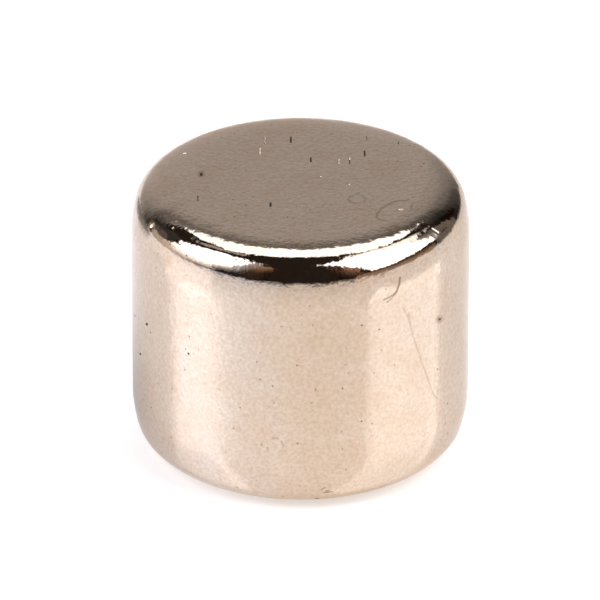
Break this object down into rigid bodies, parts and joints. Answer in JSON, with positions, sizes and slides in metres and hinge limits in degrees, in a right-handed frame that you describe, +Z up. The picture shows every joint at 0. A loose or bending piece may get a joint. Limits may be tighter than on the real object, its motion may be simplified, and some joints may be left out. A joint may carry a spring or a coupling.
{
  "type": "disc magnet",
  "caption": "Short cylindrical disc magnet with flat ends, softly tumbled edges and a bright warm nickel plating.",
  "frame": {"origin": "middle of the lower face, which the magnet stands on", "axes": "+Z up the axis of the cylinder, which is also the magnetic axis; +X and +Y are free, because the body is round"},
  "size_m": [0.006, 0.006, 0.005],
  "materials": {
    "nickel_plating": "polished"
  },
  "bodies": {
    "root": {"disc_magnet": "nickel_plating"}
  },
  "joints": []
}
